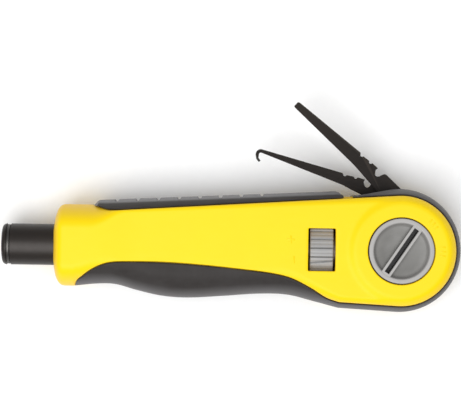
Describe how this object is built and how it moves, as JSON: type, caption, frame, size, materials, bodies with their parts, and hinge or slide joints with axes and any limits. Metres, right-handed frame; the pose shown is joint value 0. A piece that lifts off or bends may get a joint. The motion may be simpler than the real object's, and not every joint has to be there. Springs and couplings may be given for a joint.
{
  "type": "punch down tool",
  "caption": "Impact punch down tool: two-part yellow housing with soft grip, sprung barrel with a twist-lock blade socket, force wheel, fold-out spudger and hook, and a storage lid.",
  "frame": {"origin": "centre of the blade socket's mouth, on the barrel's axis", "axes": "+X along the barrel's axis from the nose to the butt, +Y towards the spine with the fold-out tools, +Z out of the side that carries the storage lid; the tool lies on its -Z side"},
  "size_m": [0.1783, 0.0811, 0.0304],
  "materials": {
    "yellow_housing": "moulded, fine satin texture",
    "soft_grip": "soft matt overmould",
    "spine_pad": "soft matt overmould",
    "zinc_steel": "zinc plated",
    "bushing_brass": "turned",
    "plain_steel": "ground and oiled",
    "black_barrel": "black oxide, satin",
    "spring_steel": "drawn wire",
    "dark_steel": "black oxide",
    "grey_plastic": "moulded, satin",
    "black_blade": "black oxide sheet steel",
    "dark_plastic": "moulded",
    "seal_rubber": "moulded ring"
  },
  "bodies": {
    "housing": {"upper_shell": "yellow_housing", "lower_shell": "yellow_housing", "upper_grip": "soft_grip", "lower_grip": "soft_grip", "upper_spine_pad": "spine_pad", "lower_spine_pad": "spine_pad", "housing_screws": "zinc_steel", "nose_bushing": "bushing_brass", "guide_tube": "plain_steel", "stop_pins": "plain_steel", "trip_cam": "plain_steel", "main_spring": "spring_steel", "thrust_washer": "plain_steel", "pivot_pin": "plain_steel", "blade_washers": "spring_steel", "storage_cup": "dark_plastic"},
    "barrel": {"nose_barrel": "black_barrel", "snap_ring": "spring_steel", "blade_socket": "dark_steel", "plunger_spring": "spring_steel", "anvil": "plain_steel", "anvil_spring": "spring_steel"},
    "socket_plunger": {"blade_plunger": "plain_steel"},
    "hammer_block": {"hammer": "plain_steel", "latch_spring": "spring_steel"},
    "latch": {"trip_latch": "plain_steel"},
    "preload": {"preload_screw": "plain_steel"},
    "thumb_wheel": {"force_wheel": "grey_plastic"},
    "spudger": {"spudger_blade": "black_blade"},
    "hook": {"hook_blade": "black_blade"},
    "lid": {"storage_lid": "grey_plastic", "lid_seal": "seal_rubber"}
  },
  "joints": [
    {"name": "barrel_slide", "type": "slide", "parent": "housing", "child": "barrel", "axis": [1, 0, 0], "range_m": [0, 0.011], "stiffness_N_per_m": 2600, "springref_m": -0.003, "deforming": ["main_spring"]},
    {"name": "hammer_slide", "type": "slide", "parent": "housing", "child": "hammer_block", "axis": [1, 0, 0], "range_m": [0, 0.011], "deforming": ["main_spring"]},
    {"name": "latch_slide", "type": "slide", "parent": "hammer_block", "child": "latch", "axis": [0, -1, 0], "range_m": [0, 0.0016], "deforming": ["latch_spring"]},
    {"name": "plunger_slide", "type": "slide", "parent": "barrel", "child": "socket_plunger", "axis": [1, 0, 0], "range_m": [0, 0.002], "stiffness_N_per_m": 300, "springref_m": -0.001, "deforming": ["plunger_spring"]},
    {"name": "wheel_turn", "type": "hinge", "parent": "housing", "child": "thumb_wheel", "pos_m": [0.1238, 0, 0], "axis": [1, 0, 0], "range_deg": [-90, 90]},
    {"name": "preload_slide", "type": "slide", "parent": "housing", "child": "preload", "axis": [-1, 0, 0], "range_m": [-0.0015, 0.0015], "deforming": ["main_spring"]},
    {"name": "spudger_fold", "type": "hinge", "parent": "housing", "child": "spudger", "pos_m": [0.153, 0.0189, 0], "axis": [0, 0, -1], "range_deg": [-43.2, 66.8]},
    {"name": "hook_fold", "type": "hinge", "parent": "housing", "child": "hook", "pos_m": [0.153, 0.0189, 0], "axis": [0, 0, -1], "range_deg": [-17.6, 92.4]},
    {"name": "lid_turn", "type": "hinge", "parent": "housing", "child": "lid", "pos_m": [0.1543, 0, 0.013], "axis": [0, 0, 1], "range_deg": [-56, 0]}
  ],
  "couplings": [
    {"joint": "hammer_slide", "follows": "barrel_slide", "ratio": 1},
    {"joint": "latch_slide", "follows": "barrel_slide", "ratio": 0.14545},
    {"joint": "wheel_turn", "follows": "preload_slide", "rad_per_m": 1047.2}
  ]
}
